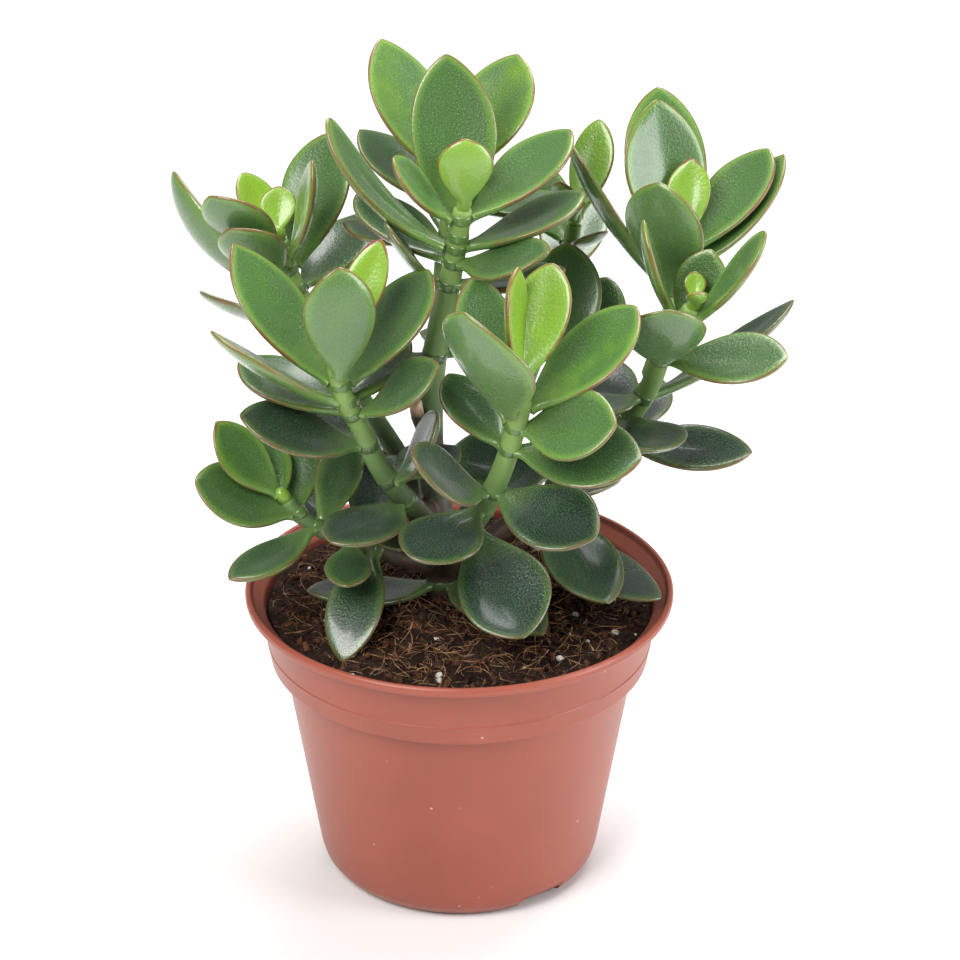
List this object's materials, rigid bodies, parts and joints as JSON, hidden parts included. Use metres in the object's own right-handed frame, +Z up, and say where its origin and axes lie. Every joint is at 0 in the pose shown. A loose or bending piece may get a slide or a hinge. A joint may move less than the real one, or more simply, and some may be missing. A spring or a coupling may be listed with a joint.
{
  "type": "potted jade plant",
  "caption": "Branching succulent with thick paddle-shaped leaves in opposite pairs, growing in a round stepped nursery pot with a rolled rim, soil and a foot ring.",
  "frame": {"origin": "centre of the pot's foot ring, on the surface it stands on", "axes": "+Z up through pot and plant, +X to the right seen from the front, +Y to the back"},
  "size_m": [0.1708, 0.1368, 0.2336],
  "materials": {
    "pot": "satin",
    "soil": "matte",
    "stem": "matte",
    "leaf": "satin",
    "young_leaf": "satin"
  },
  "bodies": {
    "root": {"pot": "pot", "soil": "soil", "stems": "stem", "crown_leaves_1": "young_leaf", "crown_leaves_2": "young_leaf", "crown_leaves_3": "leaf", "crown_leaves_4": "leaf", "crown_leaves_5": "leaf", "crown_leaves_6": "leaf", "crown_leaves_7": "leaf", "crown_leaves_8": "leaf", "crown_leaves_9": "leaf", "crown_back_leaves_1": "young_leaf", "crown_back_leaves_2": "young_leaf", "crown_back_leaves_3": "leaf", "crown_back_leaves_4": "leaf", "left_back_leaves_1": "young_leaf", "left_back_leaves_2": "young_leaf", "left_back_leaves_3": "leaf", "left_back_leaves_4": "leaf", "left_back_leaves_5": "leaf", "left_front_leaves_1": "young_leaf", "left_front_leaves_2": "young_leaf", "left_front_leaves_3": "leaf", "left_front_leaves_4": "leaf", "left_front_leaves_5": "leaf", "left_front_leaves_6": "leaf", "left_front_leaves_7": "leaf", "left_front_leaves_8": "leaf", "left_low_leaves_1": "young_leaf", "left_low_leaves_2": "young_leaf", "left_low_leaves_3": "leaf", "left_low_leaves_4": "leaf", "left_low_leaves_5": "leaf", "front_leaves_1": "young_leaf", "front_leaves_2": "young_leaf", "front_leaves_3": "leaf", "front_leaves_4": "leaf", "front_leaves_5": "leaf", "front_leaves_6": "leaf", "front_leaves_7": "leaf", "right_leaves_1": "young_leaf", "right_leaves_2": "young_leaf", "right_leaves_3": "leaf", "right_leaves_4": "leaf", "right_leaves_5": "leaf", "right_leaves_6": "leaf", "right_leaves_7": "leaf", "right_leaves_8": "leaf", "right_leaves_9": "leaf", "right_top_leaves_1": "young_leaf", "right_top_leaves_2": "young_leaf", "right_top_leaves_3": "leaf", "right_top_leaves_4": "leaf", "right_back_leaves_1": "young_leaf", "right_back_leaves_2": "young_leaf", "right_back_leaves_3": "leaf", "right_back_leaves_4": "leaf", "mid_right_leaves_1": "young_leaf", "mid_right_leaves_2": "young_leaf"}
  },
  "joints": []
}
